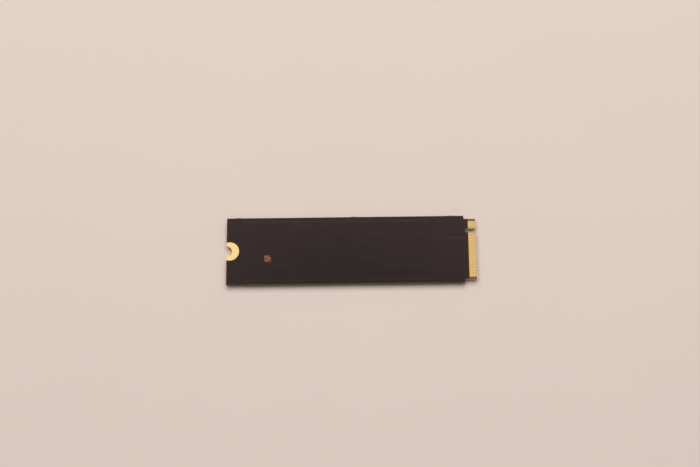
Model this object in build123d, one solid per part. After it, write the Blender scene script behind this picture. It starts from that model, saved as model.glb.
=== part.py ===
from build123d import *
from math import ceil
import os

os.makedirs("parts", exist_ok=True)

# A flash storage module for a card-edge slot: one bare side up, its chips under the board.
# X runs along the board from the screw notch to the card-edge tongue, Y across it, Z up.
# The module lies face down as it would on a bench, on its tallest chips, and the origin is
# on that surface, under the middle of the board. Sizes are in millimetres.

# Board outline
board_length = 80.0
board_width = 22.0
board_thickness = 0.80  # over the contact pads of both sides
board_corner_radius = 0.25
mask_thickness = 0.03
mask_setback = 0.08  # bare laminate left along every edge
mask_clearance = 0.05  # bare laminate left around the gold

# Card-edge tongue, keyed between contacts 58 and 67 of its 75
tongue_length = 4.0
shoulder_depth = 1.075  # how far the board steps in to the tongue on each side
tongue_corner_radius = 0.4
shoulder_radius = 0.5
bevel_run = 0.34
bevel_depth = 0.18
key_width = 1.2
key_depth = 3.65
key_across = 6.125
key_clearance = 0.2  # no contact comes nearer to the key notch
contact_half_pitch = 0.25
contact_margin = 0.675  # from the tongue's side to the middle of the outermost contact
contact_width = 0.35
contact_length = 2.22
contact_setback = 0.40
contact_thickness = 0.04

# Plated half hole for the screw
notch_radius = 1.75
plating_thickness = 0.03
notch_pad_radius = 3.0
notch_pad_inset = 1.0  # how far in from the board's end the pad's arc is centred

# Square code mark etched in the copper of the bare side
mark_size = 2.4
mark_from_end = 13.13
mark_across = -2.55

# Stubs on the far edge and hollows in the near one, where the board was snapped out of its panel
stub_width = 2.3
stub_height = 0.10
stub_slope = 0.20
hollow_width = 3.5
hollow_depth = 0.10
tab_from_end = 3.7
tab_shift = 0.9

# Room left clear of parts
screw_keepout = 6.0
connector_keepout = 5.4
edge_keepout = 0.5
row_inset = 1.5
column_room = 2.1  # a column of capacitors for each such width of a gap, or part of it

# Flash memory packages
memory_count = 2
memory_length = 12.0
memory_width = 18.0
memory_substrate_thickness = 0.20
memory_mould_thickness = 0.75
memory_ball_height = 0.25
memory_ball_pitch = 1.0
memory_column_count = 9
memory_row_count = 15
memory_empty_count = 3
memory_ball_radius = 0.23

# Buffer memory package
buffer_length = 7.5
buffer_width = 13.0
buffer_substrate_thickness = 0.18
buffer_mould_thickness = 0.60
buffer_ball_height = 0.28
buffer_ball_pitch = 0.8
buffer_column_count = 9
buffer_row_count = 16
buffer_empty_count = 3
buffer_ball_radius = 0.21

# Controller package, its mould cap smaller than its substrate
controller_length = 12.0
controller_width = 12.0
controller_substrate_thickness = 0.28
controller_mould_thickness = 0.55
controller_mould_inset = 0.55
controller_draft_angle = 12.0
controller_ball_height = 0.24
controller_ball_pitch = 0.8
controller_side_count = 13
controller_ring_count = 2
controller_ball_radius = 0.20

# Marks and corners shared by the moulded packages
dimple_radius = 0.45
dimple_depth = 0.05
dimple_from_edge = 1.2
ball_side_count = 4

# Leadless chips: the power chip, a second regulator, a load switch and a setup memory
lead_thickness = 0.10
lead_overhang = 0.04
lead_pitch = 0.5
lead_width = 0.25
lead_length = 0.40
power_chip_size = 5.0
power_chip_height = 0.85
power_chip_lead_count = 7
regulator_size = 3.0
regulator_height = 0.80
regulator_lead_count = 4
switch_size = 2.0
switch_height = 0.75
switch_lead_count = 3
setup_length = 3.0
setup_width = 2.0
setup_height = 0.60
setup_lead_count = 4

# Power inductors
inductor_length = 2.5
inductor_width = 2.0
inductor_height = 1.20
inductor_corner = 0.25
inductor_clip_thickness = 0.10
inductor_clip_foot = 0.55
inductor_clip_height = 0.60

# Chip capacitors and resistors: length, width and height over the ends
bulk_length = 1.6
bulk_width = 0.8
bulk_height = 0.8
bulk_count = 8
chip_length = 1.0
chip_width = 0.5
chip_height = 0.5
chip_end_cap = 0.25
bulk_end_cap = 0.35
cap_proud = 0.02  # how far an end cap stands out round the ceramic
resistor_height = 0.35
tiny_length = 0.6
tiny_width = 0.3
tiny_height = 0.3
lane_count = 8
lane_span = 5.55
lane_middle = 0.25

# Clock crystal
crystal_length = 2.0
crystal_width = 1.6
crystal_base_height = 0.30
crystal_lid_height = 0.20
crystal_lid_inset = 0.12
crystal_lid_corner = 0.2

# How the small parts are spread over the board
column_gap = 0.70
gap_chip_count = 6
gap_tiny_count = 5
side_tiny_count = 3
side_chip_count = 4
resistor_count = 8
along_turn = 0.0
across_turn = 90.0

# Places along the board
tongue_tip = board_length / 2
screw_end = -board_length / 2
shoulder_x = tongue_tip - tongue_length
tongue_width = board_width - 2 * shoulder_depth
contact_end = tongue_tip - contact_setback
contact_start = contact_end - contact_length

# Heights: the tallest package or inductor touches the surface, the board lies above it
memory_height = memory_ball_height + memory_substrate_thickness + memory_mould_thickness
board_face = max(memory_height, inductor_height)
laminate_thickness = board_thickness - 2 * contact_thickness
laminate_low = board_face + mask_thickness
laminate_high = laminate_low + laminate_thickness


def plate(outline, low, thickness):
    """A flat solid of the outline, its lower face at the height low."""
    return extrude(Pos(0, 0, low) * outline, amount=thickness)


def hung(outline, height, standoff=0.0):
    """A solid of the outline under the board, standoff below its face and height deep."""
    return plate(outline, board_face - standoff - height, height)


def cornered(length, width, corner):
    """A rectangle with its corners cut off."""
    return chamfer(Rectangle(length, width).vertices(), corner)


def save(name, solids):
    """Writes one node: a single solid, or a group of separate like ones."""
    export_step(Compound(solids if isinstance(solids, list) else [solids]), f"parts/{name}.step")


def key_slot(clearance=0.0):
    """The key notch, open at the tongue's tip and round at its inner end."""
    reach = 2 * key_depth
    width = key_width + 2 * clearance
    slot_middle = tongue_tip - key_depth - clearance + reach / 2
    return Pos(slot_middle, key_across) * SlotOverall(reach, width)


def board_outline():
    """The board with its tongue, key notch and screw notch, before its panel tabs."""
    body_length = board_length - tongue_length
    body_middle = (screw_end + shoulder_x) / 2
    body = Pos(body_middle, 0) * RectangleRounded(body_length, board_width, board_corner_radius)
    tongue = Pos(shoulder_x, 0) * RectangleRounded(
        2 * tongue_length, tongue_width, tongue_corner_radius
    )
    outline = body + tongue
    inner_corners = [
        corner
        for corner in outline.vertices()
        if abs(corner.X - shoulder_x) < 0.01 and abs(abs(corner.Y) - tongue_width / 2) < 0.01
    ]
    outline = fillet(inner_corners, shoulder_radius)
    notch = Pos(screw_end, 0) * Circle(notch_radius + plating_thickness)
    return outline - key_slot() - notch


def tab_places():
    """Where the three panel tabs of each long edge were, along X."""
    return [screw_end + tab_from_end, tab_shift, shoulder_x - tab_from_end - tab_shift / 2]


def stub(tab_x):
    """What a broken tab leaves standing on the far edge."""
    edge = board_width / 2
    foot = stub_width / 2
    top = foot - stub_slope
    points = [
        (tab_x - foot, edge - stub_height),
        (tab_x - foot, edge),
        (tab_x - top, edge + stub_height),
        (tab_x + top, edge + stub_height),
        (tab_x + foot, edge),
        (tab_x + foot, edge - stub_height),
    ]
    return make_face(Polyline(*points, close=True))


def hollow(tab_x):
    """The shallow hollow that a tab torn out of the near edge leaves."""
    edge = -board_width / 2
    half = hollow_width / 2
    bottom = ThreePointArc((tab_x - half, edge), (tab_x, edge + hollow_depth), (tab_x + half, edge))
    return make_face(bottom + Line(bottom @ 1, bottom @ 0))


def board_laminate():
    """The glass-cloth board, bevelled on both faces of its tongue."""
    outline = board_outline()
    for tab_x in tab_places():
        outline += stub(tab_x)
        outline -= hollow(tab_x)
    board = plate(outline, laminate_low, laminate_thickness)
    for face, inward in ((laminate_low, 1), (laminate_high, -1)):
        bevel_points = [
            (tongue_tip - bevel_run, face),
            (tongue_tip + bevel_run, face - inward * bevel_depth),
            (tongue_tip + bevel_run, face + inward * 2 * bevel_depth),
        ]
        wedge = make_face(Plane.XZ * Polyline(*bevel_points, close=True))
        board -= extrude(wedge, amount=board_width, both=True)
    return board


def notch_pad():
    """The gold half moon round the screw notch, cut off square at the board's end."""
    moon = Pos(screw_end + notch_pad_inset, 0) * Circle(notch_pad_radius)
    return moon & Rectangle(board_length, board_width)


def solder_mask(low, openings):
    """The lacquer of one side: it stops short of the edges, the contacts and the gold."""
    mask_end = contact_start - mask_clearance
    body_length = board_length - tongue_length - 2 * mask_setback
    body = Rectangle(body_length, board_width - 2 * mask_setback)
    outline = Pos((screw_end + shoulder_x) / 2, 0) * body
    root_length = mask_end - shoulder_x + tongue_length
    root = Rectangle(root_length, tongue_width - 2 * mask_setback)
    outline += Pos(mask_end - root_length / 2, 0) * root
    outline -= key_slot(mask_setback)
    for opening in [offset(notch_pad(), amount=mask_clearance)] + openings:
        outline -= opening
    return plate(outline, low, mask_thickness)


def notch_plating():
    """The pads of both faces and the lining of the half hole, plated as one skin."""
    lining_outline = Circle(notch_radius + plating_thickness) - Circle(notch_radius)
    kept = Pos(board_length / 2, 0) * Rectangle(board_length, board_width)
    lining = Pos(screw_end, 0) * (lining_outline & kept)
    skin = plate(lining, laminate_low - contact_thickness, board_thickness)
    pad = notch_pad() - Pos(screw_end, 0) * Circle(notch_radius)
    for low in (laminate_low - contact_thickness, laminate_high):
        skin += plate(pad, low, contact_thickness)
    return skin


def code_mark_outline():
    """The square that the code mark fills."""
    return Pos(screw_end + mark_from_end, mark_across) * Rectangle(mark_size, mark_size)


def contact_row(first, low):
    """Every second contact from the first, left out where the key notch is."""
    outermost = tongue_width / 2 - contact_margin
    last = 2 * round(outermost / contact_half_pitch) + 1
    key_half = (key_width + contact_width) / 2 + key_clearance
    across = [(n - (last + 1) / 2) * contact_half_pitch for n in range(first, last + 1, 2)]
    pad = plate(Rectangle(contact_length, contact_width), low, contact_thickness)
    middle_x = (contact_start + contact_end) / 2
    return [Pos(middle_x, y) * pad for y in across if abs(y - key_across) > key_half]


def dimpled(mould, length, width):
    """A mould cap with the round dimple that marks its first ball."""
    face = mould.bounding_box().min.Z
    middle = mould.center(CenterOf.BOUNDING_BOX)
    dimple_x = middle.X - length / 2 + dimple_from_edge
    dimple_y = middle.Y - width / 2 + dimple_from_edge
    dimple = plate(Pos(dimple_x, dimple_y) * Circle(dimple_radius), face, dimple_depth)
    return mould - dimple


def ball_posts(places, radius, height, middle_x):
    """Solder balls at the places, each a short post as it is after melting."""
    post = hung(RegularPolygon(radius, ball_side_count, major_radius=True), height)
    return [Pos(middle_x + x, y) * post for x, y in places]


def grid(columns, rows, pitch):
    """Column and row numbers of a ball matrix, each with its place about the middle."""
    return [
        (c, r, (c - (columns - 1) / 2) * pitch, (r - (rows - 1) / 2) * pitch)
        for c in range(columns)
        for r in range(rows)
    ]


def memory_balls(middle_x):
    """A full matrix, but for a few empty places in the middle column."""
    middle_column = memory_column_count // 2
    first_empty = (memory_row_count - memory_empty_count) // 2
    empty_rows = range(first_empty, first_empty + memory_empty_count)
    matrix = grid(memory_column_count, memory_row_count, memory_ball_pitch)
    places = [(x, y) for c, r, x, y in matrix if c != middle_column or r not in empty_rows]
    return ball_posts(places, memory_ball_radius, memory_ball_height, middle_x)


def buffer_balls(middle_x):
    """Two blocks of balls, one each side of the empty middle columns."""
    first_empty = (buffer_column_count - buffer_empty_count) // 2
    empty_columns = range(first_empty, first_empty + buffer_empty_count)
    matrix = grid(buffer_column_count, buffer_row_count, buffer_ball_pitch)
    places = [(x, y) for c, r, x, y in matrix if c not in empty_columns]
    return ball_posts(places, buffer_ball_radius, buffer_ball_height, middle_x)


def controller_balls(middle_x):
    """Rings of balls round the edge of the controller."""
    last = controller_side_count - 1
    matrix = grid(controller_side_count, controller_side_count, controller_ball_pitch)
    places = [
        (x, y) for c, r, x, y in matrix if min(c, r, last - c, last - r) < controller_ring_count
    ]
    return ball_posts(places, controller_ball_radius, controller_ball_height, middle_x)


def controller_mould(middle_x):
    """The controller's cap, drawn in towards its face and set in from the substrate."""
    cap_outline = Rectangle(
        controller_length - 2 * controller_mould_inset,
        controller_width - 2 * controller_mould_inset,
    )
    base = board_face - controller_ball_height - controller_substrate_thickness
    cap = extrude(
        Pos(middle_x, 0, base) * cap_outline,
        amount=-controller_mould_thickness,
        taper=controller_draft_angle,
    )
    cap_length = controller_length - 4 * controller_mould_inset
    cap_width = controller_width - 4 * controller_mould_inset
    return dimpled(cap, cap_length, cap_width)


def leadless_chip(name, x, y, length, width, height, lead_count, sides):
    """Saves a leadless chip: its moulded body stands on flat leads and the pad in its middle."""
    body = hung(Pos(x, y) * Rectangle(length, width), height - lead_thickness, lead_thickness)
    span = (lead_count - 1) / 2
    along = [(i - span) * lead_pitch for i in range(lead_count)]
    out_x = length / 2 - lead_length / 2 + lead_overhang
    out_y = width / 2 - lead_length / 2 + lead_overhang
    across_lead = hung(Rectangle(lead_width, lead_length), lead_thickness)
    leads = [Pos(x + a, y + s * out_y) * across_lead for a in along for s in (-1, 1)]
    if sides == 4:
        along_lead = hung(Rectangle(lead_length, lead_width), lead_thickness)
        leads += [Pos(x + s * out_x, y + a) * along_lead for a in along for s in (-1, 1)]
    inset = 2 * (lead_length + lead_width)
    pad_length = length - (inset if sides == 4 else lead_width)
    leads.append(hung(Pos(x, y) * Rectangle(pad_length, width - inset), lead_thickness))
    save(f"{name}_body", body)
    save(f"{name}_leads", leads)


def inductor(x, y):
    """The pressed core of an inductor and the two clips that wrap under its ends."""
    core_length = inductor_length - 2 * inductor_clip_thickness
    core_outline = cornered(core_length, inductor_width, inductor_corner)
    core_height = inductor_height - inductor_clip_thickness
    core = hung(Pos(x, y) * core_outline, core_height, inductor_clip_thickness)
    clip_outline = Polyline(
        (inductor_length / 2, 0),
        (inductor_length / 2 - inductor_clip_foot, 0),
        (inductor_length / 2 - inductor_clip_foot, -inductor_clip_thickness),
        (core_length / 2, -inductor_clip_thickness),
        (core_length / 2, -inductor_clip_height),
        (inductor_length / 2, -inductor_clip_height),
        close=True,
    )
    clip_width = inductor_width - 2 * inductor_corner
    clip = extrude(make_face(Plane.XZ * clip_outline), amount=clip_width / 2, both=True)
    clips = [Pos(x, y, board_face) * Rot(0, 0, turn) * clip for turn in (0, 180)]
    return core, clips


def chip_part(x, y, turn, length, width, height, end_cap):
    """The ceramic of a chip part and its two metal end caps, long way along X at turn 0."""
    ceramic_length = length - 2 * end_cap
    ceramic_outline = Rectangle(ceramic_length, width - 2 * cap_proud)
    ceramic = hung(ceramic_outline, height - 2 * cap_proud, cap_proud)
    cap = hung(Rectangle(end_cap, width), height)
    cap_x = (length - end_cap) / 2
    place = Pos(x, y) * Rot(0, 0, turn)
    return place * ceramic, [place * Pos(s * cap_x, 0) * cap for s in (-1, 1)]


def chip_parts(places, length, width, height, end_cap):
    """The ceramics and the end caps of like chip parts at the places."""
    ceramics, caps = [], []
    for x, y, turn in places:
        ceramic, pair = chip_part(x, y, turn, length, width, height, end_cap)
        ceramics.append(ceramic)
        caps += pair
    return ceramics, caps


def shared(lengths, low, high):
    """Middles of parts laid from low to high in turn, and the equal gap left between them."""
    gap = (high - low - sum(lengths)) / (len(lengths) - 1)
    middles = []
    for length in lengths:
        middles.append(low + length / 2)
        low += length + gap
    return middles, gap


def evenly(count, size, span, middle=0.0):
    """Middles of like parts spread over a span, the outer ones flush with its ends."""
    return shared([size] * count, middle - span / 2, middle + span / 2)[0]


# The areas of the board share its free length: the memory packages from the screw end,
# then the buffer memory, the controller and the power parts
power_area_length = power_chip_size + 2 * column_gap + bulk_length + tiny_length
area_lengths = [memory_length] * memory_count
area_lengths += [buffer_length, controller_length, power_area_length]
area_start = screw_end + screw_keepout
area_end = tongue_tip - connector_keepout
area_middles, area_gap = shared(area_lengths, area_start, area_end)
gap_starts = [x + length / 2 for x, length in zip(area_middles[:-1], area_lengths)]
memory_middles = area_middles[:memory_count]
buffer_x, controller_x, power_area_x = area_middles[memory_count:]

# Board, lacquer and plated metal
save("board_laminate", board_laminate())
save("solder_mask_back", solder_mask(laminate_high, [code_mark_outline()]))
save("solder_mask_front", solder_mask(board_face, []))
save("notch_plating", notch_plating())
save("code_mark", plate(code_mark_outline(), laminate_high, mask_thickness))
save("contact_pads_back", contact_row(2, laminate_high))
save("contact_pads_front", contact_row(1, laminate_low - contact_thickness))

# Memory packages, numbered from the screw end, each on its solder balls
for number, middle_x in enumerate(memory_middles, 1):
    package = Pos(middle_x, 0) * Rectangle(memory_length, memory_width)
    mould_standoff = memory_ball_height + memory_substrate_thickness
    memory_mould = hung(package, memory_mould_thickness, mould_standoff)
    substrate = hung(package, memory_substrate_thickness, memory_ball_height)
    save(f"memory_{number}_substrate", substrate)
    save(f"memory_{number}_mould", dimpled(memory_mould, memory_length, memory_width))
    save(f"memory_{number}_balls", memory_balls(middle_x))

# Buffer memory and controller
buffer_package = Pos(buffer_x, 0) * Rectangle(buffer_length, buffer_width)
buffer_mould_standoff = buffer_ball_height + buffer_substrate_thickness
save("buffer_substrate", hung(buffer_package, buffer_substrate_thickness, buffer_ball_height))
save("buffer_mould", hung(buffer_package, buffer_mould_thickness, buffer_mould_standoff))
save("buffer_balls", buffer_balls(buffer_x))
controller_package = Pos(controller_x, 0) * Rectangle(controller_length, controller_width)
save(
    "controller_substrate",
    hung(controller_package, controller_substrate_thickness, controller_ball_height),
)
save("controller_mould", controller_mould(controller_x))
save("controller_balls", controller_balls(controller_x))

# Power parts: one column of chips with an inductor before each, one of bulk capacitors
power_column_x = power_area_x - power_area_length / 2 + power_chip_size / 2
power_chips = [
    ("power_chip", power_chip_size, power_chip_height, power_chip_lead_count, 4),
    ("regulator", regulator_size, regulator_height, regulator_lead_count, 2),
    ("load_switch", switch_size, switch_height, switch_lead_count, 2),
]
stack_widths = [width for chip in power_chips for width in (inductor_width, chip[1])]
column_end = board_width / 2 - edge_keepout
places_y = shared(stack_widths, -column_end, column_end)[0]
for (name, size, height, lead_count, sides), y in zip(power_chips, places_y[1::2]):
    leadless_chip(name, power_column_x, y, size, size, height, lead_count, sides)
inductors = [inductor(power_column_x, y) for y in places_y[::2]]
save("inductor_cores", [core for core, clips in inductors])
save("inductor_clips", [clip for core, clips in inductors for clip in clips])
bulk_x = power_column_x + power_chip_size / 2 + column_gap + bulk_length / 2
bulk_rows = evenly(bulk_count, bulk_width, board_width - 2 * row_inset)
bulk_places = [(bulk_x, y, along_turn) for y in bulk_rows]
bulk_ceramics, bulk_caps = chip_parts(bulk_places, bulk_length, bulk_width, bulk_height, bulk_end_cap)
save("bulk_capacitor_bodies", bulk_ceramics)
save("bulk_capacitor_caps", bulk_caps)

# Capacitors in columns in the gaps between the areas, small and smallest in turn, with rows
# of the small beside the buffer memory and of the smallest beside the memory packages
column_span = board_width - 2 * (row_inset + shoulder_depth)
chip_rows = evenly(gap_chip_count, chip_length, column_span)
tiny_rows = evenly(gap_tiny_count, tiny_length, column_span)
gap_column_count = ceil(area_gap / column_room)
column_steps = [(i + 0.5) / gap_column_count * area_gap for i in range(gap_column_count)]
chip_columns = [x + step for x in gap_starts for step in column_steps[::2]]
tiny_columns = [x + step for x in gap_starts for step in column_steps[1::2]]
chip_places = [(x, y, across_turn) for x in chip_columns for y in chip_rows]
tiny_places = [(x, y, across_turn) for x in tiny_columns for y in tiny_rows]
buffer_side_y = (buffer_width + board_width) / 4
chip_places += [
    (x, side * buffer_side_y, across_turn)
    for x in evenly(side_chip_count, chip_width, buffer_length, buffer_x)
    for side in (-1, 1)
]
memory_side_y = (memory_width + board_width) / 4
tiny_places += [
    (x, side * memory_side_y, along_turn)
    for middle_x in memory_middles
    for x in evenly(side_tiny_count, tiny_length, memory_length, middle_x)
    for side in (-1, 1)
]
chip_ceramics, chip_caps = chip_parts(chip_places, chip_length, chip_width, chip_height, chip_end_cap)
save("capacitor_bodies", chip_ceramics)
save("capacitor_caps", chip_caps)
tiny = hung(Rectangle(tiny_length, tiny_width), tiny_height)
save("tiny_capacitors", [Pos(x, y) * Rot(0, 0, turn) * tiny for x, y, turn in tiny_places])
lane_x = bulk_x + bulk_length / 2 + column_gap + tiny_length / 2
lane_rows = evenly(lane_count, tiny_width, lane_span, lane_middle)
save("lane_capacitors", [Pos(lane_x, y) * tiny for y in lane_rows])

# Resistors on one side of the controller, crystal and setup memory on the other
controller_side_y = (controller_width + board_width) / 4
resistor_columns = evenly(resistor_count, chip_width, controller_length, controller_x)
resistor_places = [(x, -controller_side_y, across_turn) for x in resistor_columns]
resistor_ceramics, resistor_caps = chip_parts(
    resistor_places, chip_length, chip_width, resistor_height, chip_end_cap
)
save("resistor_bodies", resistor_ceramics)
save("resistor_caps", resistor_caps)
controller_end = controller_length / 2
crystal_x, setup_x = shared(
    [crystal_length, setup_length], controller_x - controller_end, controller_x + controller_end
)[0]
crystal_place = Pos(crystal_x, controller_side_y)
crystal_base = crystal_place * Rectangle(crystal_length, crystal_width)
crystal_lid = crystal_place * cornered(
    crystal_length - 2 * crystal_lid_inset,
    crystal_width - 2 * crystal_lid_inset,
    crystal_lid_corner,
)
save("crystal_base", hung(crystal_base, crystal_base_height))
save("crystal_lid", hung(crystal_lid, crystal_lid_height, crystal_base_height))
leadless_chip(
    "setup_memory",
    setup_x,
    controller_side_y,
    setup_length,
    setup_width,
    setup_height,
    setup_lead_count,
    2,
)
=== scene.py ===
import bmesh
import bpy
import numpy as np
from mathutils import Matrix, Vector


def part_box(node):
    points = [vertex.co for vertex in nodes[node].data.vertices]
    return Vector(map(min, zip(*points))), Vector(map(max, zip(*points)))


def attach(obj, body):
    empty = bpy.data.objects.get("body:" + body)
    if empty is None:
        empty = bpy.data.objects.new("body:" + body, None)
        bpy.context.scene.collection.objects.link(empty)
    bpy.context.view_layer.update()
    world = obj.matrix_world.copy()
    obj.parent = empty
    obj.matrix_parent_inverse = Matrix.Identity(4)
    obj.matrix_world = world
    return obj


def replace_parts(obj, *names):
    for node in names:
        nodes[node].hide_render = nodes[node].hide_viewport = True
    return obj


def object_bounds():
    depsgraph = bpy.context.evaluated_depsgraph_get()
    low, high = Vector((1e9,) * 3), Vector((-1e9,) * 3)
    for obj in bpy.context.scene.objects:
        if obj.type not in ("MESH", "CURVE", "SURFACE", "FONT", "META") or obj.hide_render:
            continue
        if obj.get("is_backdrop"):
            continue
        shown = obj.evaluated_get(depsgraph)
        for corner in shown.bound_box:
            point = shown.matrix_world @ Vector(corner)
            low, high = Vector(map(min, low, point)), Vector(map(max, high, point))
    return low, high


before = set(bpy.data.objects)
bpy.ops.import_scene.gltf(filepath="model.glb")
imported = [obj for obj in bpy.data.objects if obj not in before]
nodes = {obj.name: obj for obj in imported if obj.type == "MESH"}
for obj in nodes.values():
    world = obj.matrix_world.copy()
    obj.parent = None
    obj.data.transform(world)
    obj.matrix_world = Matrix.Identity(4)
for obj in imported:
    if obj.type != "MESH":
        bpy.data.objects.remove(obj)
cad_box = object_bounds()
mm = 0.001

# The board: a milled plate of woven glass and resin, bare along its cut edges and round the gold.
# Its milled sides are darker than its faces, partly the dark laminate and partly painted shade,
# and show the plies as fine level lines. The tongue's cut edges and bevels are pale, where the
# glass is ground open, and so are the etched gaps between its contacts.
resin_colour = (0.110, 0.058, 0.015, 1)
thread_colour = (0.200, 0.118, 0.040, 1)
ground_colour = (0.720, 0.585, 0.420)
gap_colour = (0.490, 0.340, 0.145, 1)
# The sides' darkening is partly the laminate's dark core and partly painted shade.
side_dark_core_and_shade = 0.26  # of the faces' brightness
cloth_pitch = 0.45 * mm
ply_pitch = 0.105 * mm
ply_contrast = 0.25
thread_patch = 0.4 * mm  # the threads show more and less by patches of this size
patch_flatness = 6
face_limit = 0.95  # a face points up or down by more than this, and a bevel by less
contacts_low, contacts_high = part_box("contact_pads_back")
contacts_middle_y = (contacts_low.y + contacts_high.y) / 2
tongue_from = contacts_low.x - 1.3 * mm
tongue_to = contacts_low.x - 0.5 * mm
noise_swing = 4.0  # brings most of a noise to between -1 and 1
grain_dulling = 0.3


def node(tree, kind, settings, inputs):
    """Adds a shader node with its settings; each input gets a value, or a socket to follow."""
    made = tree.nodes.new("ShaderNode" + kind)
    for name, value in settings.items():
        setattr(made, name, value)
    for key, value in inputs.items():
        if isinstance(value, bpy.types.NodeSocket):
            tree.links.new(value, made.inputs[key])
        else:
            made.inputs[key].default_value = value
    return made


def math(tree, operation, first, second=0.0):
    """The result of one Math node."""
    return node(tree, "Math", {"operation": operation}, {0: first, 1: second}).outputs[0]


def ramp(tree, value, start, end, low=0.0, high=1.0, curve="LINEAR"):
    """Goes from low to high while the value goes from start to end, and stays level outside."""
    inputs = {"Value": value, "From Min": start, "From Max": end, "To Min": low, "To Max": high}
    return node(tree, "MapRange", {"interpolation_type": curve}, inputs).outputs[0]


def mixed(tree, share, first, second, blend="MIX"):
    """The first colour with this share of the second laid over it."""
    settings = {"data_type": "RGBA", "blend_type": blend}
    return node(tree, "Mix", settings, {0: share, 6: first, 7: second}).outputs[2]


def between(tree, share, first, second):
    """The first number where the share is 0, and the second where it is 1."""
    return node(tree, "Mix", {"data_type": "FLOAT"}, {0: share, 2: first, 3: second}).outputs[0]


def toned(tree, colour, tone):
    """A colour made lighter or darker by a factor."""
    return node(tree, "VectorMath", {"operation": "SCALE"}, {0: colour, 3: tone}).outputs[0]


def object_place(tree):
    """The place of a point on the object, in metres."""
    return tree.nodes.new("ShaderNodeTexCoord").outputs["Object"]


def split(tree, vector):
    """The X, Y and Z parts of a vector."""
    return node(tree, "SeparateXYZ", {}, {"Vector": vector}).outputs


def facing_up(tree):
    """How far the surface faces up, from -1 to 1: the Z part of its normal."""
    return split(tree, tree.nodes.new("ShaderNodeNewGeometry").outputs["Normal"])["Z"]


def new_group(name, inputs, outputs):
    """An empty node group with these named inputs and outputs, and its own sockets for them."""
    tree = bpy.data.node_groups.new(name, "ShaderNodeTree")
    for label, kind in inputs.items():
        tree.interface.new_socket(label, in_out="INPUT", socket_type="NodeSocket" + kind)
    for label, kind in outputs.items():
        tree.interface.new_socket(label, in_out="OUTPUT", socket_type="NodeSocket" + kind)
    return tree, tree.nodes.new("NodeGroupInput").outputs, tree.nodes.new("NodeGroupOutput").inputs


def glass_cloth_group():
    """Plain weave: over one thread and under the next, each thread as high as the sine across it.
    Warp is on top where the two sines have one sign, and weft elsewhere."""
    tree, given, result = new_group("glass_cloth", {"Pitch": "Float"}, {"Height": "Float"})
    along, across, up = split(tree, object_place(tree))
    turn = math(tree, "DIVIDE", np.pi, given["Pitch"])
    warp = math(tree, "SINE", math(tree, "MULTIPLY", along, turn))
    weft = math(tree, "SINE", math(tree, "MULTIPLY", across, turn))
    warp_on_top = math(tree, "GREATER_THAN", math(tree, "MULTIPLY", warp, weft))
    weft_height = math(tree, "ABSOLUTE", weft)
    warp_height = math(tree, "ABSOLUTE", warp)
    tree.links.new(between(tree, warp_on_top, weft_height, warp_height), result["Height"])
    return tree


def mottle_group():
    """Colour times one plus or minus a depth, by a noise with patches of one size; with it comes
    a finer noise, the grain, for relief and roughness."""
    inputs = {"Color": "Color", "Patch Size": "Float", "Depth": "Float", "Grain Size": "Float"}
    tree, given, result = new_group("mottle", inputs, {"Color": "Color", "Grain": "Float"})
    place = object_place(tree)
    noises = {}
    for label in ("Patch Size", "Grain Size"):
        scale = math(tree, "DIVIDE", 1.0, given[label])
        settings = {"Vector": place, "Scale": scale, "Detail": 4.0, "Roughness": 0.6}
        noises[label] = node(tree, "TexNoise", {}, settings).outputs["Fac"]
    off_middle = math(tree, "SUBTRACT", noises["Patch Size"], 0.5)
    swing = math(tree, "MULTIPLY", off_middle, noise_swing)
    tone = math(tree, "ADD", math(tree, "MULTIPLY", swing, given["Depth"]), 1.0)
    tree.links.new(toned(tree, given["Color"], tone), result["Color"])
    tree.links.new(noises["Grain Size"], result["Grain"])
    return tree


glass_cloth = glass_cloth_group()
mottle = mottle_group()


def finish(name, colour, roughness=None, metallic=0.0, patch=3 * mm, depth=0.05,
           grain=0.05 * mm, relief=0.002 * mm, specular=0.5):
    """A material of mottled colour over a fine grain, which lifts the surface by the relief and
    makes it a little duller or brighter. Without a roughness, its own section gives it one."""
    material = bpy.data.materials.new(name)
    material.use_nodes = True
    tree = material.node_tree
    shader = tree.nodes["Principled BSDF"]
    values = {"Color": colour, "Patch Size": patch, "Depth": depth, "Grain Size": grain}
    surface = node(tree, "Group", {"node_tree": mottle}, values).outputs
    bump = node(tree, "Bump", {}, {"Distance": relief, "Height": surface["Grain"]})
    tree.links.new(surface["Color"], shader.inputs["Base Color"])
    tree.links.new(bump.outputs["Normal"], shader.inputs["Normal"])
    if roughness is not None:
        off_middle = math(tree, "SUBTRACT", surface["Grain"], 0.5)
        dull = math(tree, "ADD", math(tree, "MULTIPLY", off_middle, grain_dulling), roughness)
        tree.links.new(dull, shader.inputs["Roughness"])
    shader.inputs["Metallic"].default_value = metallic
    shader.inputs["Specular IOR Level"].default_value = specular
    return material


def inside(material):
    """A material's node tree, its shader, and the socket that its colour comes from."""
    tree = material.node_tree
    shader = tree.nodes["Principled BSDF"]
    return tree, shader, shader.inputs["Base Color"].links[0].from_socket


def dress(material, *names):
    """Gives CAD nodes their material."""
    for name in names:
        for slot in nodes[name].material_slots:
            slot.material = material


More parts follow.
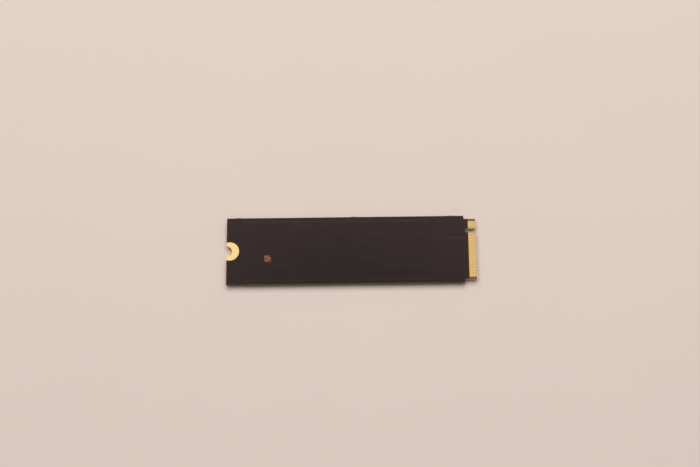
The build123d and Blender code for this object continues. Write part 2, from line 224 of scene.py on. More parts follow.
laminate = finish(
    "cut_laminate", resin_colour, roughness=0.55, patch=1.5 * mm, depth=0.10, grain=0.08 * mm,
)
tree, shader, resin = inside(laminate)
place = object_place(tree)
along, across, up = split(tree, place)
on_a_face = math(tree, "GREATER_THAN", math(tree, "ABSOLUTE", facing_up(tree)), face_limit)
weave = node(tree, "Group", {"node_tree": glass_cloth}, {"Pitch": cloth_pitch}).outputs["Height"]
level_lines = math(tree, "SINE", math(tree, "MULTIPLY", up, 2 * np.pi / ply_pitch))
plies = ramp(tree, level_lines, -1.0, 1.0)
flattened = node(tree, "Mapping", {}, {"Vector": place, "Scale": (1, 1, patch_flatness)})
patch_inputs = {"Vector": flattened.outputs[0], "Scale": 1 / thread_patch, "Detail": 2.0}
patches = node(tree, "TexNoise", {}, patch_inputs).outputs["Fac"]
threads = math(tree, "MULTIPLY", between(tree, on_a_face, plies, weave), patches)
# Partly painted shade: the milled sides keep only this share of the faces' brightness.
shade = ramp(tree, on_a_face, 0.0, 1.0, low=side_dark_core_and_shade)
milled = toned(tree, mixed(tree, threads, resin, thread_colour), shade)
on_a_side = math(tree, "SUBTRACT", 1.0, on_a_face)
on_tongue = math(tree, "MULTIPLY", ramp(tree, along, tongue_from, tongue_to), on_a_side)
ground_tone = math(tree, "SUBTRACT", 1.0, math(tree, "MULTIPLY", threads, ply_contrast))
ground = toned(tree, ground_colour, ground_tone)
from_middle = math(tree, "ABSOLUTE", math(tree, "SUBTRACT", across, contacts_middle_y))
beside_contacts = math(tree, "LESS_THAN", from_middle, contacts_high.y - contacts_middle_y)
past_lacquer = math(tree, "GREATER_THAN", along, contacts_low.x)
before_bevel = math(tree, "LESS_THAN", along, contacts_high.x)
in_rows = math(tree, "MULTIPLY", past_lacquer, before_bevel)
in_gaps = math(tree, "MULTIPLY", on_a_face, math(tree, "MULTIPLY", in_rows, beside_contacts))
cut_colour = mixed(tree, in_gaps, mixed(tree, on_tongue, milled, ground), gap_colour)
tree.links.new(cut_colour, shader.inputs["Base Color"])
dress(laminate, "board_laminate")

# The lacquer: a thin black coat on each face, with the soft skin of sprayed lacquer. It is a little
# lighter on copper and browner beside the gold, where it thins out, and the cloth under it shows
# through very faintly.
lacquer_colour = (0.0330, 0.0198, 0.0186, 1)
over_copper_colour = (0.0425, 0.0262, 0.0243, 1)
lacquer_skin = 0.35 * mm
cloth_relief = 0.0015 * mm
# Painted shade: the lacquer is darkened towards the middle of the near long edge, where its gloss
# mirrors less light.
painted_shade_middle = (-1.5 * mm, -22 * mm, 0)
painted_shade_half_length = 106 * mm
painted_shade_half_width = 60 * mm
painted_shade_tone = 0.31
thin_colour = (0.0400, 0.0192, 0.0100, 1)
thin_reach = 0.60 * mm
screw_pad_middle = (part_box("notch_plating")[0].x + 1.0 * mm, 0, 0)
screw_pad_radius = 3.0 * mm


def lacquer(name, colour):
    """Black lacquer of one tone, its skin in relief over the cloth's. Painted shade: it is made
    deeper black towards the middle of one long edge, by the distance from a place past that
    edge, in half lengths along the board and half widths across it."""
    material = finish(
        name, colour, roughness=0.60, patch=9 * mm, depth=0.06, grain=lacquer_skin,
        relief=0.004 * mm, specular=0.25,
    )
    tree, shader, black = inside(material)
    place = object_place(tree)
    halves = (1 / painted_shade_half_length, 1 / painted_shade_half_width, 0)
    from_painted_shade = node(tree, "VectorMath", {"operation": "SUBTRACT"}, {0: place, 1: painted_shade_middle})
    in_halves = node(
        tree, "VectorMath", {"operation": "MULTIPLY"}, {0: from_painted_shade.outputs[0], 1: halves}
    )
    distance = node(tree, "VectorMath", {"operation": "LENGTH"}, {0: in_halves.outputs[0]})
    away = distance.outputs["Value"]
    tone = ramp(tree, away, 0.0, 1.0, low=painted_shade_tone, curve="SMOOTHSTEP")
    level = node(tree, "VectorMath", {"operation": "MULTIPLY"}, {0: place, 1: (1, 1, 0)})
    from_pad = node(
        tree, "VectorMath", {"operation": "DISTANCE"}, {0: level.outputs[0], 1: screw_pad_middle}
    ).outputs["Value"]
    by_pad = ramp(tree, from_pad, screw_pad_radius, screw_pad_radius + thin_reach, 1.0, 0.0)
    along = split(tree, place)["X"]
    by_contacts = ramp(tree, along, contacts_low.x - thin_reach, contacts_low.x)
    by_gold = math(tree, "MAXIMUM", by_pad, by_contacts)
    coat_colour = mixed(tree, by_gold, toned(tree, black, tone), thin_colour)
    tree.links.new(coat_colour, shader.inputs["Base Color"])
    weave = node(tree, "Group", {"node_tree": glass_cloth}, {"Pitch": cloth_pitch})
    print_through = node(
        tree, "Bump", {}, {"Distance": cloth_relief, "Height": weave.outputs["Height"]}
    )
    skin = shader.inputs["Normal"].links[0].from_node
    tree.links.new(print_through.outputs["Normal"], skin.inputs["Normal"])
    return material


plain_lacquer = lacquer("black_lacquer", lacquer_colour)
track_lacquer = lacquer("black_lacquer_over_copper", over_copper_colour)
dress(plain_lacquer, "solder_mask_back", "solder_mask_front")

# Tracks: etched copper under the lacquer, which it lifts by a hundredth of a millimetre. Bundles
# of level tracks turn in half right angles, two bows of them cross the board, and wide strips
# carry the supply along its edges.
track_width = 0.13 * mm
strip_width = 1.0 * mm
track_slope = 0.03 * mm
track_height = 0.012 * mm
track_sink = 0.006 * mm
merge_distance = 0.00001 * mm


def skinned(name, points, material, bend=40):
    """A piece of closed tubes from points[tube, ring, place round the ring]. A face joins each two
    neighbours on neighbouring rings, and a lid closes the first and the last ring of each tube.
    An edge that bends by more degrees than the bend is sharp, and the others are smooth."""
    number = np.arange(points[..., 0].size).reshape(points.shape[:3])
    beside = np.roll(number, -1, axis=2)
    corners = [number[:, :-1], beside[:, :-1], beside[:, 1:], number[:, 1:]]
    quads = np.stack(corners, axis=-1).reshape(-1, 4)
    lids = np.concatenate([number[:, 0, ::-1], number[:, -1]])
    mesh = bpy.data.meshes.new(name)
    mesh.from_pydata(points.reshape(-1, 3), [], quads.tolist() + lids.tolist())
    shape = bmesh.new()
    shape.from_mesh(mesh)
    bmesh.ops.remove_doubles(shape, verts=shape.verts, dist=merge_distance)
    bmesh.ops.recalc_face_normals(shape, faces=shape.faces)
    shape.to_mesh(mesh)
    shape.free()
    mesh.polygons.foreach_set("use_smooth", np.ones(len(mesh.polygons), bool))
    mesh.set_sharp_from_angle(angle=np.radians(bend))
    mesh.materials.append(material)
    piece = bpy.data.objects.new(name, mesh)
    bpy.context.scene.collection.objects.link(piece)
    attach(piece, "root")
    return piece


def side_steps(lines):
    """At each point of lines[line, point], the step to the left that keeps one unit from both runs
    that meet there: the sum of their left directions over one plus their product."""
    runs = np.diff(lines, axis=1)
    left = np.stack([-runs[..., 1], runs[..., 0]], axis=-1)
    left /= np.linalg.norm(left, axis=-1, keepdims=True)
    before = np.concatenate([left[:, :1], left], axis=1)
    after = np.concatenate([left, left[:, -1:]], axis=1)
    return (before + after) / (1 + (before * after).sum(axis=-1, keepdims=True))


def bundle(line, count, pitch, rows=3, row_step=0.45):
    """Level lines side by side, spread evenly about one line of (x, y) points in millimetres. Their
    ends lie in turn in a few rows, so that the hole at each end has room."""
    line = np.array([line], float) * mm
    spread = (np.arange(count) - (count - 1) / 2) * pitch * mm
    lines = line + spread[:, None, None] * side_steps(line)
    back = (np.arange(count) % rows)[:, None] * row_step * mm
    for end, inner in ((0, 1), (-1, -2)):
        run = lines[:, inner] - lines[:, end]
        lines[:, end] += back * run / np.linalg.norm(run, axis=-1, keepdims=True)
    return lines


def ribbons(lines, face, way, width, slope, height, sink):
    """Flat-topped ribbons along lines on a level face: the profile's four corners lie half a width,
    or half a width and the slope, to each side, at the height or sunk under the face."""
    across = np.array([-width / 2 - slope, -width / 2, width / 2, width / 2 + slope])
    lift = np.array([-sink, height, height, -sink]) * way
    steps = side_steps(lines)
    flat = lines[:, :, None] + across[:, None] * steps[:, :, None]
    level = np.broadcast_to(face + lift, flat.shape[:3])
    return np.concatenate([flat, level[..., None]], axis=-1)


def arc_line(middle_x, radius, half_turn, points=13):
    """A bow about the board's middle line, bulging towards the contacts."""
    turn = np.radians(np.linspace(-half_turn, half_turn, points))
    return np.stack([middle_x + radius * np.cos(turn), radius * np.sin(turn)], axis=-1)


# Each bundle has its line's points, the number of its tracks, and their pitch in millimetres.
back_bundles = [
    ([(23.4, 4.8), (8.6, 4.8), (7.0, 6.4), (-4.6, 6.4)], 8, 0.30),
    ([(23.4, -4.8), (8.6, -4.8), (7.0, -6.4), (-4.6, -6.4)], 8, 0.30),
    ([(-6.6, 7.8), (-18.0, 7.8), (-20.6, 5.2), (-25.6, 5.2)], 7, 0.30),
    ([(-6.6, -7.8), (-18.0, -7.8), (-20.6, -5.2), (-25.6, -5.2)], 7, 0.30),
    ([(12.4, 1.8), (7.6, 1.8), (6.8, 2.6), (3.6, 2.6)], 8, 0.30),
    ([(12.4, -1.8), (7.6, -1.8), (6.8, -2.6), (3.6, -2.6)], 8, 0.30),
    ([(36.6, 8.2), (33.4, 8.2), (31.4, 6.2), (29.6, 6.2)], 4, 0.50),
    ([(36.6, -0.6), (29.6, -0.6)], 8, 0.50),
    ([(36.6, -7.2), (33.0, -7.2), (31.0, -5.2), (29.6, -5.2)], 5, 0.50),
    (arc_line(-22.0, 14.0, 24.0), 8, 0.42),
    (arc_line(12.0, 16.0, 24.0), 8, 0.42),
]
front_bundles = [
    ([(7.9, 4.8), (6.2, 6.5)], 8, 0.30),
    ([(-3.9, 7.2), (-4.6, 7.9)], 6, 0.30),
    ([(23.9, 8.8), (22.5, 7.4)], 5, 0.30),
]
wide_lines = [
    [(36.6, 3.6), (30.4, 3.6)],
    [(25.0, 9.6), (-35.0, 9.6)],
    [(25.0, -9.6), (-35.0, -9.6)],
]
back_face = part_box("solder_mask_back")[1].z
front_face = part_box("solder_mask_front")[0].z
ends = []
for side, way, face, bundles in (
    ("back", 1, back_face, back_bundles),
    ("front", -1, front_face, front_bundles),
):
    for number, (line, count, pitch) in enumerate(bundles, 1):
        lines = bundle(line, count, pitch)
        tracks = ribbons(lines, face, way, track_width, track_slope, track_height, track_sink)
        skinned(f"{side}_tracks_{number}", tracks, track_lacquer, bend=20)
        ends += [lines[:, 0], lines[:, -1]]
for number, line in enumerate(wide_lines, 1):
    lines = np.array([line]) * mm
    strip = ribbons(lines, back_face, 1, strip_width, track_slope, track_height, track_sink)
    skinned(f"back_strip_{number}", strip, track_lacquer, bend=20)

# Through holes: drilled and plated under the packages' balls, along both edges and at each track's
# end. The lacquer closes them, in a low ring with a dimple, and the code square has none.
hole_sides = 12
hole_radii = np.array([0.19, 0.155, 0.09, 0.05]) * mm
hole_lift = np.array([-track_sink, 0.014 * mm, 0.014 * mm, 0.004 * mm])
hole_room = 0.42 * mm
mark_room = 0.30 * mm
ball_pitch = 1.0
buffer_ball_pitch = 0.8
edge_holes = np.linspace(-36, 34, 29)
edge_row = 10.5


def revolved(places, radii, heights, sides):
    """Round shapes about upright axes at the places: each ring has a radius and a height."""
    angle = np.arange(sides) * 2 * np.pi / sides
    circle = np.stack([np.cos(angle), np.sin(angle)], axis=-1)
    flat = places[:, None, None] + np.asarray(radii)[:, None, None] * circle
    level = np.broadcast_to(np.asarray(heights)[:, None], flat.shape[:3])
    return np.concatenate([flat, level[..., None]], axis=-1)


def matrix_under(name, columns, rows, pitch, shift=0.0):
    """Places of a square matrix about a package's middle, shifted along and across, in
    millimetres."""
    low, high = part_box(name)
    middle = np.array([low.x + high.x, low.y + high.y]) / 2 / mm + shift
    across, along = np.meshgrid(np.arange(rows), np.arange(columns))
    from_middle = np.stack([along - (columns - 1) / 2, across - (rows - 1) / 2], axis=-1)
    return middle + from_middle.reshape(-1, 2) * pitch


holes = [
    matrix_under("controller_substrate", 6, 6, ball_pitch),
    matrix_under("memory_1_substrate", 2, 14, ball_pitch, ball_pitch / 2),
    matrix_under("memory_2_substrate", 2, 14, ball_pitch, ball_pitch / 2),
    matrix_under("buffer_substrate", 2, 12, buffer_ball_pitch),
    np.stack([edge_holes, np.full(len(edge_holes), edge_row)], axis=-1),
    np.stack([edge_holes, np.full(len(edge_holes), -edge_row)], axis=-1),
]
hole_places = np.concatenate([np.concatenate(holes) * mm] + ends)
between_holes = np.linalg.norm(hole_places[:, None] - hole_places, axis=-1)
crowded = np.tril(between_holes < hole_room, -1).any(axis=1)
mark_low, mark_high = [np.array(corner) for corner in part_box("code_mark")]
past_low = hole_places > mark_low[:2] - mark_room
before_high = hole_places < mark_high[:2] + mark_room
on_mark = (past_low & before_high).all(axis=1)
hole_places = hole_places[~crowded & ~on_mark]
for side, way, face in (("back", 1, back_face), ("front", -1, front_face)):
    rings = revolved(hole_places, hole_radii, face + way * hole_lift, hole_sides)
    skinned(f"{side}_closed_holes", rings, track_lacquer)

# The gold: contact pads and the plated half hole, hard gold over nickel on copper. Each pad is
# etched with small round corners and sloping walls, and the slot's springs have wiped it.
contact_colour = (0.850, 0.556, 0.211, 1)
small_group_tint = (0.955, 1.090, 1.060, 1)  # the gold past the key is a little more lemon
# Painted reflection: the half hole's gold, the same plating, is given a brighter, paler colour for
# the brighter light mirrored at that end.
screw_pad_colour = (1.000, 0.750, 0.310, 1)
wiped_roughness = 0.22
streak_roughness = 0.20  # what the dullest streaks add
streaks_per_metre = 1500.0
streak_narrowness = 14
wall_limit = 0.5
wall_roughness = 0.35  # what the drilled wall of the half hole adds
key_middle_y = 6.125 * mm
pad_corner = 0.06 * mm
pad_lip = 0.004 * mm
pad_wall = 0.018 * mm
corner_steps = 3
same_place = 0.001 * mm


def gold(name, colour):
    """Smooth plated gold with fine rubbed streaks along the board, duller and brighter by turns."""
    material = finish(
        name, colour, metallic=1.0, patch=1.8 * mm, depth=0.04, grain=0.03 * mm,
        relief=0.0012 * mm,
    )
    tree, shader, plated = inside(material)
    stretch = {"Vector": object_place(tree), "Scale": (1, streak_narrowness, 1)}
    stretched = node(tree, "Mapping", {}, stretch).outputs[0]
    streaks = node(tree, "TexNoise", {}, {"Vector": stretched, "Scale": streaks_per_metre})
    rubbed = math(tree, "MULTIPLY", streaks.outputs["Fac"], streak_roughness)
    on_wall = math(tree, "LESS_THAN", math(tree, "ABSOLUTE", facing_up(tree)), wall_limit)
    drilled = math(tree, "MULTIPLY", on_wall, wall_roughness)
    dull = math(tree, "ADD", math(tree, "ADD", rubbed, wiped_roughness), drilled)
    tree.links.new(dull, shader.inputs["Roughness"])
    return material


def solids_of(name):
    """Low and high corners of each separate solid of a CAD node, as boxes[solid, 0 or 1, axis].
    Corners at one place share a number, and each triangle hands its corners the lowest number of
    the three until nothing changes, so that a solid ends with one number."""
    mesh = nodes[name].data
    points = np.empty(len(mesh.vertices) * 3)
    mesh.vertices.foreach_get("co", points)
    points = points.reshape(-1, 3)
    corners = np.empty(len(mesh.loops), int)
    mesh.loops.foreach_get("vertex_index", corners)
    place = np.unique(np.round(points / same_place), axis=0, return_inverse=True)[1].ravel()
    triangles = place[corners].reshape(-1, 3)
    label = np.arange(place.max() + 1)
    while True:
        shared = label.copy()
        np.minimum.at(shared, triangles, label[triangles].min(axis=1)[:, None])
        if (shared == label).all():
            break
        label = shared
    solid = np.unique(label, return_inverse=True)[1].ravel()[place]
    boxes = np.empty((solid.max() + 1, 2, 3))
    boxes[:, 0] = np.inf
    boxes[:, 1] = -np.inf
    np.minimum.at(boxes[:, 0], solid, points)
    np.maximum.at(boxes[:, 1], solid, points)
    return boxes


def stacked(boxes, corner, steps):
    """Rings of a rounded rectangle stacked up each box. A step is how far out of the box's outline
    the ring lies, which face it is measured from (0 low, 1 high) and how far above that face.
    The ring's corner is a quarter circle of the corner radius plus the way out."""
    out, share, rise = np.array(steps, float).T
    turn = np.linspace(0, np.pi / 2, corner_steps + 1)
    angle = (np.arange(4)[:, None] * np.pi / 2 + turn).ravel()
    circle = np.stack([np.cos(angle), np.sin(angle)], axis=-1)
    quarter = np.repeat([(1, 1), (-1, 1), (-1, -1), (1, -1)], corner_steps + 1, axis=0)
    middle = boxes.mean(axis=1)[:, None, None, :2]
    half = (boxes[:, 1] - boxes[:, 0])[:, None, None, :2] / 2
    radius = np.maximum(corner + out, 0)[None, :, None, None]
    inner = half - corner + np.minimum(corner + out, 0)[None, :, None, None]
    flat = middle + np.maximum(inner, 0) * quarter + radius * circle
    low, high = boxes[:, :1, 2], boxes[:, 1:, 2]
    level = (low + share * (high - low) + rise)[..., None]
    return np.concatenate([flat, np.broadcast_to(level, flat.shape[:3])[..., None]], axis=-1)


contact_gold = gold("contact_gold", contact_colour)
tree, shader, plated = inside(contact_gold)
past_key = math(tree, "GREATER_THAN", split(tree, object_place(tree))["Y"], key_middle_y)
tinted = mixed(tree, past_key, plated, small_group_tint, blend="MULTIPLY")
tree.links.new(tinted, shader.inputs["Base Color"])
dress(gold("screw_pad_gold", screw_pad_colour), "notch_plating")
upward = [(0, 0, 0), (0, 0.5, 0), (-pad_lip, 0.9, 0), (-pad_wall, 1, 0)]
downward = [(out, 1 - share, rise) for out, share, rise in reversed(upward)]
for side, pad_steps in (("back", upward), ("front", downward)):
    pads = stacked(solids_of(f"contact_pads_{side}"), pad_corner, pad_steps)
    piece = skinned(f"gold_contacts_{side}", pads, contact_gold)
    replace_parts(piece, f"contact_pads_{side}")

# The code square: bare etched copper with painted shade along its border, and a field of small
# lighter cells. The cells are put down by chance and code nothing.
copper_colour = (0.125, 0.032, 0.008, 1)
cell_colour = (0.400, 0.190, 0.120, 1)
mark_border = 0.20 * mm
border_shade_tone = 0.12
cells_across = 10
cell_chance = 0.42
cell_seed = 41
cell_sink = 0.004 * mm
cell_height = 0.010 * mm
cell_corner = 0.02 * mm
cell_slope = 0.012 * mm

copper = finish(
    "etched_copper", copper_colour, roughness=0.42, metallic=0.55, patch=0.5 * mm, depth=0.12,
    grain=0.04 * mm,
)
bright_copper = finish(
    "bright_copper", cell_colour, roughness=0.35, metallic=0.55, patch=0.4 * mm, depth=0.10,
    grain=0.04 * mm,
)
mark_middle = (mark_low + mark_high) / 2
mark_half = (mark_high[0] - mark_low[0]) / 2
tree, shader, etched = inside(copper)
from_middle = node(
    tree, "VectorMath", {"operation": "SUBTRACT"}, {0: object_place(tree), 1: mark_middle}
)
along, across, up = split(tree, from_middle.outputs[0])
# Painted shade: the copper darkens towards the square's border.
farthest = math(tree, "MAXIMUM", math(tree, "ABSOLUTE", along), math(tree, "ABSOLUTE", across))
border = ramp(tree, farthest, mark_half - mark_border, mark_half, 1.0, border_shade_tone)
tree.links.new(toned(tree, etched, border), shader.inputs["Base Color"])
dress(copper, "code_mark")

cell = 2 * (mark_half - mark_border) / cells_across
chance = np.random.default_rng(cell_seed)
chosen = np.argwhere(chance.random((cells_across, cells_across)) < cell_chance)
cell_corners = mark_low[:2] + mark_border + chosen * cell
cell_floor = np.full((len(chosen), 1), mark_high[2] - cell_sink)
cell_low = np.concatenate([cell_corners, cell_floor], axis=1)
cell_boxes = np.stack([cell_low, cell_low + (cell, cell, cell_height)], axis=1)
cells = stacked(cell_boxes, cell_corner, [(0, 0, 0), (-cell_slope, 1, 0)])
skinned("code_cells", cells, bright_copper)

# Memory, buffer and controller packages: dark resin substrates under caps of black moulding
# compound, which is fine sand in resin. They stand on balls of solder.
mould_colour = (0.0125, 0.0125, 0.0135, 1)
substrate_colour = (0.012, 0.045, 0.020, 1)
solder_colour = (0.70, 0.71, 0.72, 1)
ball_rings = 5
ball_sides = 12

mould = finish(
    "moulding_compound", mould_colour, roughness=0.58, patch=2.5 * mm, depth=0.12,
    grain=0.06 * mm, relief=0.006 * mm, specular=0.45,
)
substrate = finish(
    "package_substrate", substrate_colour, roughness=0.30, patch=1.0 * mm, depth=0.12,
    grain=0.10 * mm,
)
solder = finish(
    "solder", solder_colour, roughness=0.30, metallic=1.0, patch=0.3 * mm, depth=0.06,
    grain=0.05 * mm,
)
packages = ["memory_1", "memory_2", "buffer", "controller"]
dress(mould, *[f"{name}_mould" for name in packages])
dress(substrate, *[f"{name}_substrate" for name in packages])


def barrels(boxes):
    """Solder balls squeezed between two faces: a ball's own round, cut off level above and below.
    The radius at each height is the root of the widest squared less the height squared."""
    middle = boxes.mean(axis=1)
    widest, _, half_height = (boxes[0, 1] - boxes[0, 0]) / 2
    height = np.linspace(-half_height, half_height, ball_rings)
    radii = np.sqrt(widest**2 - height**2)
    return revolved(middle[:, :2], radii, middle[0, 2] + height, ball_sides)


for name in packages:
    balls = barrels(solids_of(f"{name}_balls"))
    piece = skinned(f"{name}_solder_balls", balls, solder, bend=60)
    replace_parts(piece, f"{name}_balls")

# Small chips without legs: the power chip, regulator, load switch and setup memory. Each is a
# block of the same moulding compound on flat tinned leads, which are soldered to the board.
tin_colour = (0.60, 0.59, 0.57, 1)
chip_corner = 0.03 * mm
chip_edge = 0.02 * mm
edge_rings = 3

tin = finish(
    "matte_tin", tin_colour, roughness=0.40, metallic=1.0, patch=0.25 * mm, depth=0.08,
    grain=0.03 * mm,
)


def rounded(radius):
    """Steps up a box with round edges: a quarter circle at each end of its wall."""
    turn = np.linspace(0, np.pi / 2, edge_rings)
    low = [(-radius * (1 - np.sin(t)), 0, radius * (1 - np.cos(t))) for t in turn]
    high = [(out, 1, -rise) for out, share, rise in reversed(low)]
    return low + high


chips = ["power_chip", "regulator", "load_switch", "setup_memory"]
for name in chips:
    body = stacked(solids_of(f"{name}_body"), chip_corner, rounded(chip_edge))
    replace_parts(skinned(f"{name}_moulded", body, mould), f"{name}_body")
dress(tin, *[f"{name}_leads" for name in chips])

# Power inductors: cores of pressed iron powder with a coil inside, their edges rounded by the
# press. Two tinned clips hold each core to the board.
core_colour = (0.055, 0.054, 0.055, 1)
core_corner = 0.30 * mm
core_edge = 0.07 * mm

core = finish(
    "pressed_iron", core_colour, roughness=0.66, patch=0.25 * mm, depth=0.30,
    grain=0.05 * mm, relief=0.010 * mm,
)
cores = stacked(solids_of("inductor_cores"), core_corner, rounded(core_edge))
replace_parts(skinned("pressed_cores", cores, core), "inductor_cores")
dress(tin, "inductor_clips")

# Chip capacitors and resistors: fired ceramic blocks with dipped metal ends, rounded by
# tumbling. The resistors' white blocks carry a black glaze on their outer face, which is down.
ceramic_colour = (0.215, 0.125, 0.065, 1)
block_colour = (0.66, 0.64, 0.60, 1)
block_roughness = 0.55
glaze_colour = (0.012, 0.012, 0.014, 1)
glaze_roughness = 0.25
glaze_limit = -0.7
tiny_end_share = 0.28
tiny_end_proud = 0.01 * mm
tiny_edge = 0.03 * mm

ceramic = finish(
    "capacitor_ceramic", ceramic_colour, roughness=0.45, patch=0.5 * mm, depth=0.12,
    grain=0.03 * mm, relief=0.0015 * mm,
)
resistor = finish("glazed_resistor", block_colour, patch=0.4 * mm, grain=0.04 * mm)
tree, shader, block = inside(resistor)
glazed = math(tree, "LESS_THAN", facing_up(tree), glaze_limit)
gloss = ramp(tree, glazed, 0.0, 1.0, block_roughness, glaze_roughness)
tree.links.new(mixed(tree, glazed, block, glaze_colour), shader.inputs["Base Color"])
tree.links.new(gloss, shader.inputs["Roughness"])
# Each has its material, its slot, and the radius of its edges in millimetres.
rounded_parts = {
    "bulk_capacitor_bodies": (ceramic, "capacitor_ceramic", 0.06),
    "bulk_capacitor_caps": (tin, "tin", 0.06),
    "capacitor_bodies": (ceramic, "capacitor_ceramic", 0.04),
    "capacitor_caps": (tin, "tin", 0.05),
    "resistor_bodies": (resistor, "resistor_body", 0.02),
    "resistor_caps": (tin, "tin", 0.035),
    "tiny_capacitors": (ceramic, "capacitor_ceramic", 0.03),
    "lane_capacitors": (ceramic, "capacitor_ceramic", 0.03),
}
for name, (material, slot, radius) in rounded_parts.items():
    blocks = stacked(solids_of(name), radius * mm, rounded(radius * mm))
    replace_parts(skinned(f"{name}_rounded", blocks, material), name)


def end_boxes(boxes):
    """The two ends of each box along its longer level side, each a share of its length. They
    stand proud of it all round, but not towards the board over them."""
    size = boxes[:, 1] - boxes[:, 0]
    axis = size[:, :2].argmax(axis=1)
    number = np.arange(len(boxes))
    reach = tiny_end_share * size[number, axis]
    first, last = boxes.copy(), boxes.copy()
    first[number, 1, axis] = first[number, 0, axis] + reach
    last[number, 0, axis] = last[number, 1, axis] - reach
    ends = np.concatenate([first, last])
    ends[:, 0] -= tiny_end_proud
    ends[:, 1, :2] += tiny_end_proud
    return ends


tiny_ends = {name: end_boxes(solids_of(name)) for name in ("tiny_capacitors", "lane_capacitors")}
for name, boxes in tiny_ends.items():
    blocks = stacked(boxes, tiny_edge, rounded(tiny_edge))
    skinned(f"{name}_ends", blocks, tin)

# The clock crystal: a dark ceramic tray that holds a sliver of quartz, closed by a thin plated
# metal lid welded to its rim. It is soldered flat to the board.
lid_colour = (0.62, 0.60, 0.55, 1)
tray_colour = (0.040, 0.036, 0.034, 1)

lid = finish(
    "crystal_lid", lid_colour, roughness=0.32, metallic=1.0, patch=0.6 * mm, grain=0.04 * mm,
)
tray = finish("crystal_tray", tray_colour, roughness=0.50, patch=0.5 * mm, depth=0.08)
dress(lid, "crystal_lid")
dress(tray, "crystal_base")

# Solder fillets: a hollow skirt of solder round each metal end, drawn up its wall as it melted.
# The flat leads and the clips' feet have only low ones, as there is little room under the parts.
fillet_reach = 0.11 * mm
fillet_heights = {
    "bulk_capacitor": 0.286 * mm,
    "capacitor": 0.220 * mm,
    "resistor": 0.176 * mm,
}
low_fillet_reach = 0.07 * mm
low_fillet_height = 0.08 * mm
fillet_corner = 0.04 * mm
fillet_rings = 4


def fillets(boxes, reach, height):
    """A skirt round each box against the board over it: a quarter circle hollowed inwards, from
    the box's wall at the height to the reach on the board."""
    turn = np.linspace(0, np.pi / 2, fillet_rings)
    steps = [(reach * (1 - np.cos(t)), 1, -height * (1 - np.sin(t))) for t in turn]
    return stacked(boxes, fillet_corner, steps)


for name, height in fillet_heights.items():
    skirts = fillets(solids_of(f"{name}_caps"), fillet_reach, height)
    skinned(f"{name}_fillets", skirts, solder, bend=70)
low_ended = {name: solids_of(name) for name in [f"{name}_leads" for name in chips]}
low_ended["inductor_clips"] = solids_of("inductor_clips")
low_ended.update(tiny_ends)
for name, boxes in low_ended.items():
    skirts = fillets(boxes, low_fillet_reach, low_fillet_height)
    skinned(f"{name}_fillets", skirts, solder, bend=70)

# Printed marks: white ink lines at the corners of the packages and chips, and a dot by the first
# contact of each. They are no letters.
ink_colour = (0.62, 0.61, 0.58, 1)
ink_width = 0.12 * mm
ink_slope = 0.01 * mm
ink_height = 0.012 * mm
ink_sink = 0.004 * mm
dot_sides = 16
dot_taper = 0.96

ink = finish("white_ink", ink_colour, roughness=0.62, patch=0.4 * mm, depth=0.08)
# Each has how far out its marks lie, how long their arms are, and the dot's radius.
marked = [(f"{name}_substrate", 0.35 * mm, 1.2 * mm, 0.18 * mm) for name in packages]
marked += [(f"{name}_body", 0.24 * mm, 0.5 * mm, 0.12 * mm) for name in chips]
for name, out, arm, dot_radius in marked:
    low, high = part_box(name)
    corners = np.array([(low.x, low.y), (high.x, low.y), (high.x, high.y), (low.x, high.y)])
    outward = np.array([(-1, -1), (1, -1), (1, 1), (-1, 1)])
    corners += outward * out
    first = corners - outward * (arm, 0)
    last = corners - outward * (0, arm)
    lines = np.stack([first, corners, last], axis=1)
    marks = ribbons(lines, front_face, -1, ink_width, ink_slope, ink_height, ink_sink)
    skinned(f"{name}_corner_marks", marks, ink, bend=20)
    dot_place = corners[:1] + (-0.5 * dot_radius, arm + 2 * dot_radius)
    dot_radii = np.array([1.0, dot_taper]) * dot_radius
    dot_levels = front_face + np.array([ink_sink, -ink_height])
    dot = revolved(dot_place, dot_radii, dot_levels, dot_sides)
    skinned(f"{name}_first_dot", dot, ink)

# The table that the part lies on: a plain pale sheet of matte paper, level and without an edge
# near the part.
floor_colour = (0.730, 0.610, 0.539, 1)
floor_half = 1.0

paper = finish(
    "table_sheet", floor_colour, roughness=0.8, patch=60 * mm, depth=0.008, grain=0.4 * mm,
    relief=0.0, specular=0.1,
)
floor_mesh = bpy.data.meshes.new("table")
floor_corners = [(-1, -1, 0), (1, -1, 0), (1, 1, 0), (-1, 1, 0)]
floor_mesh.from_pydata(np.array(floor_corners) * floor_half, [], [(0, 1, 2, 3)])
floor_mesh.materials.append(paper)
floor = bpy.data.objects.new("table", floor_mesh)
bpy.context.scene.collection.objects.link(floor)
floor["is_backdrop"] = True

# The room: pale walls and a bright ceiling, as the camera and gloss see them. The light that it
# gives the part and the table is weaker and even.
room_colour = (1.0, 0.98, 0.96, 1)
room_strength = 0.25
wall_strength = 0.55
ceiling_strength = 1.0

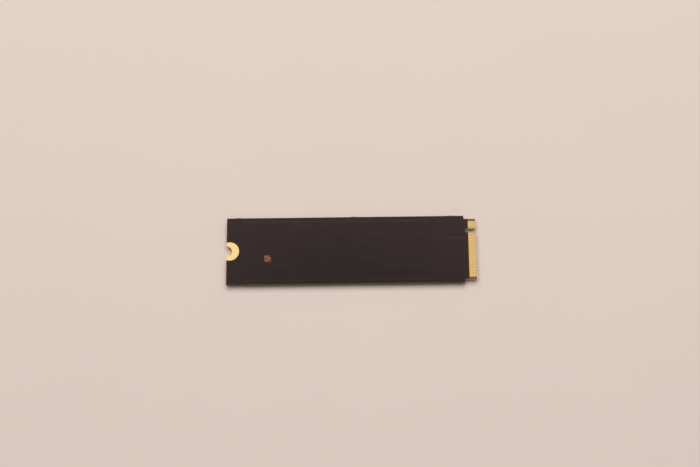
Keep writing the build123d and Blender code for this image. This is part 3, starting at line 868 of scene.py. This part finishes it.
world = bpy.data.worlds.new("room")
world.use_nodes = True
tree = world.node_tree
ray = tree.nodes.new("ShaderNodeLightPath").outputs
mirrored = math(tree, "MAXIMUM", ray["Is Glossy Ray"], ray["Is Transmission Ray"])
seen = math(tree, "MAXIMUM", ray["Is Camera Ray"], mirrored)
direction = split(tree, tree.nodes.new("ShaderNodeTexCoord").outputs["Generated"])
seen_strength = ramp(tree, direction["Z"], 0.0, 1.0, wall_strength, ceiling_strength)
strength = between(tree, seen, room_strength, seen_strength)
room = tree.nodes["Background"]
room.inputs["Color"].default_value = room_colour
tree.links.new(strength, room.inputs["Strength"])
bpy.context.scene.world = world

# The lamp: one large soft box high on the far side, turned towards the part. Gloss doesn't
# mirror it.
lamp_from = np.array([-0.01, 0.44, 0.90])
lamp_distance = 1.1
lamp_width = 1.2
lamp_depth = 0.98
lamp_power = 13.3


def looking(position, back):
    """A matrix at the position whose third axis points back and whose second is as upright as
    can be."""
    back = back / np.linalg.norm(back)
    right = np.cross((0, 0, 1), back)
    right /= np.linalg.norm(right)
    columns = np.column_stack([right, np.cross(back, right), back, position])
    return Matrix(np.vstack([columns, (0, 0, 0, 1)]).tolist())


lamp_data = bpy.data.lights.new("soft_lamp", "AREA")
lamp_data.shape = "RECTANGLE"
lamp_data.size = lamp_width
lamp_data.size_y = lamp_depth
lamp_data.energy = lamp_power
lamp = bpy.data.objects.new("soft_lamp", lamp_data)
bpy.context.scene.collection.objects.link(lamp)
lamp.visible_glossy = False
lamp_way = lamp_from / np.linalg.norm(lamp_from)
lamp.matrix_world = looking(lamp_way * lamp_distance, lamp_way)

# The camera, at the photograph's angle: nearly overhead from the near side, held a little
# turned about its own line of sight.
view_around = np.radians(1.9684)
view_up = np.radians(73.9675)
view_turn = np.radians(-2.5674)
view_distance = 424.17 * mm
view_target = np.array([-0.469, 5.507, 1.98]) * mm
view_lens = 68.035
sensor_width = 36.0

back = np.array([
    np.sin(view_around) * np.cos(view_up),
    -np.cos(view_around) * np.cos(view_up),
    np.sin(view_up),
])
camera_data = bpy.data.cameras.new("camera")
camera_data.lens = view_lens
camera_data.sensor_width = sensor_width
camera_data.clip_start = 1 * mm
camera = bpy.data.objects.new("camera", camera_data)
bpy.context.scene.collection.objects.link(camera)
level = looking(view_target + back * view_distance, back)
camera.matrix_world = level @ Matrix.Rotation(view_turn, 4, "Z")
bpy.context.scene.camera = camera
bpy.context.scene.view_settings.view_transform = "Standard"

boxes = {"cad": cad_box, "visual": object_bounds()}
